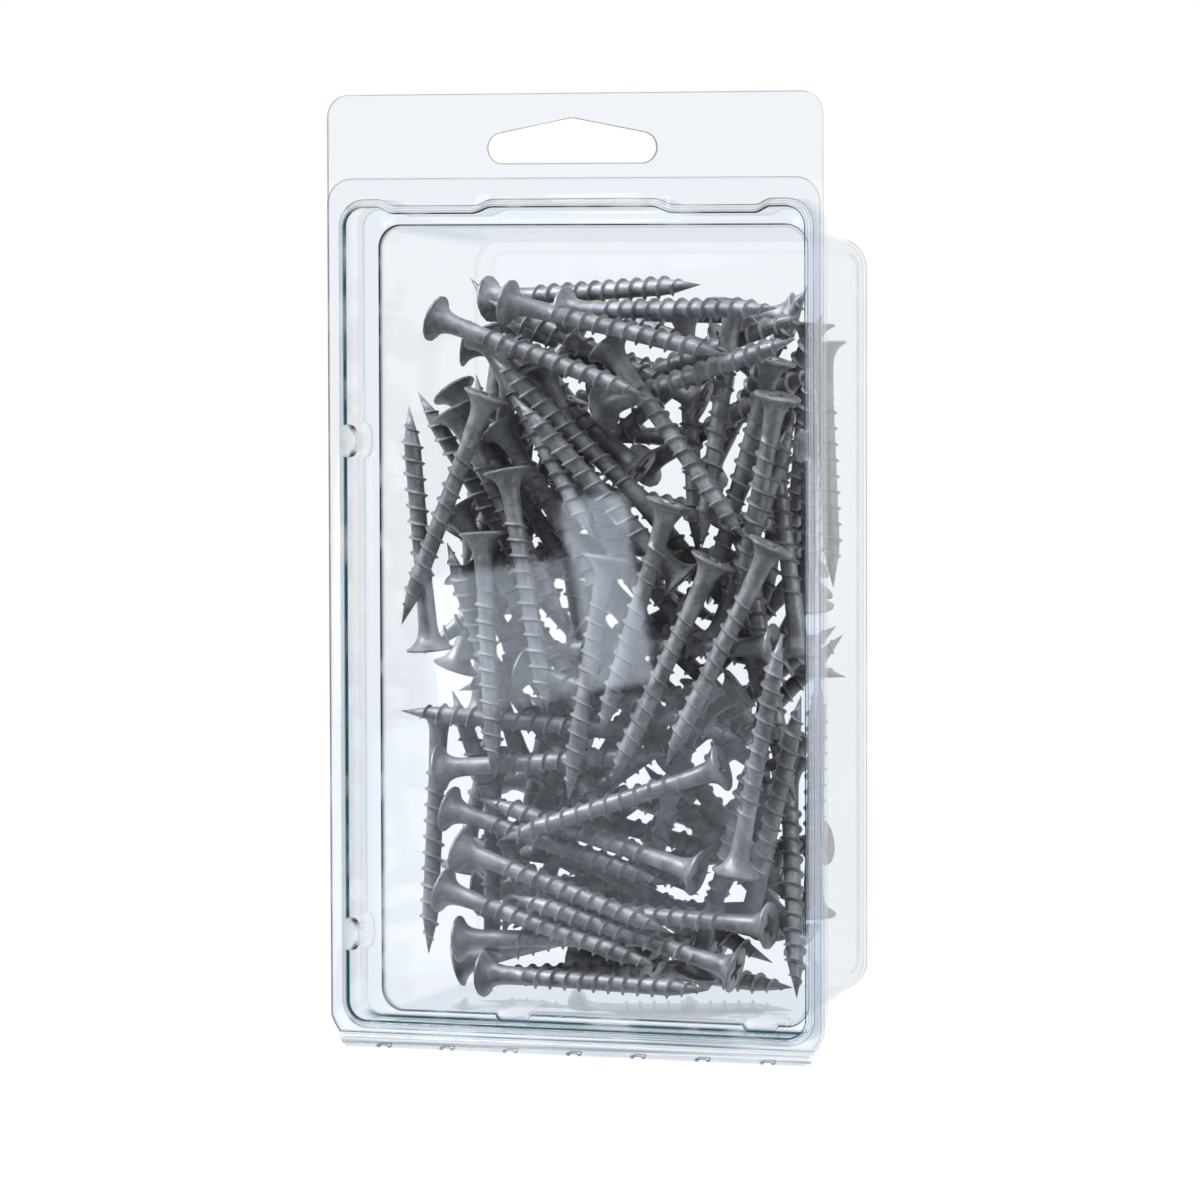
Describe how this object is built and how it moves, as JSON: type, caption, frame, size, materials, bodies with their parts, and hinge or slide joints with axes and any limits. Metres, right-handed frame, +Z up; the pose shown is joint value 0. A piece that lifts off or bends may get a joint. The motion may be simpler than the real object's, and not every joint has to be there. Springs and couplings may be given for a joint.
{
  "type": "plastic clamshell pack",
  "caption": "Clear folded hanging pack with a deep tub, a recessed front lid on a fold hinge and a heap of grey countersunk wood screws inside.",
  "frame": {"origin": "middle of the hang hole, in the plane where the two flanges meet", "axes": "+Z up along the hanging pack, +Y from the lid to the back of the tub, X across the pack"},
  "size_m": [0.0932, 0.0499, 0.1688],
  "materials": {
    "clear_sheet": "gloss",
    "screw_coating": "satin"
  },
  "bodies": {
    "tub": {"back_shell": "clear_sheet", "screws_front": "screw_coating", "screws_middle": "screw_coating", "screws_back": "screw_coating"},
    "lid": {"front_shell": "clear_sheet"}
  },
  "joints": [
    {"name": "lid_hinge", "type": "hinge", "parent": "tub", "child": "lid", "pos_m": [0, 0, -0.1602], "axis": [1, 0, 0], "range_deg": [0, 180]}
  ]
}
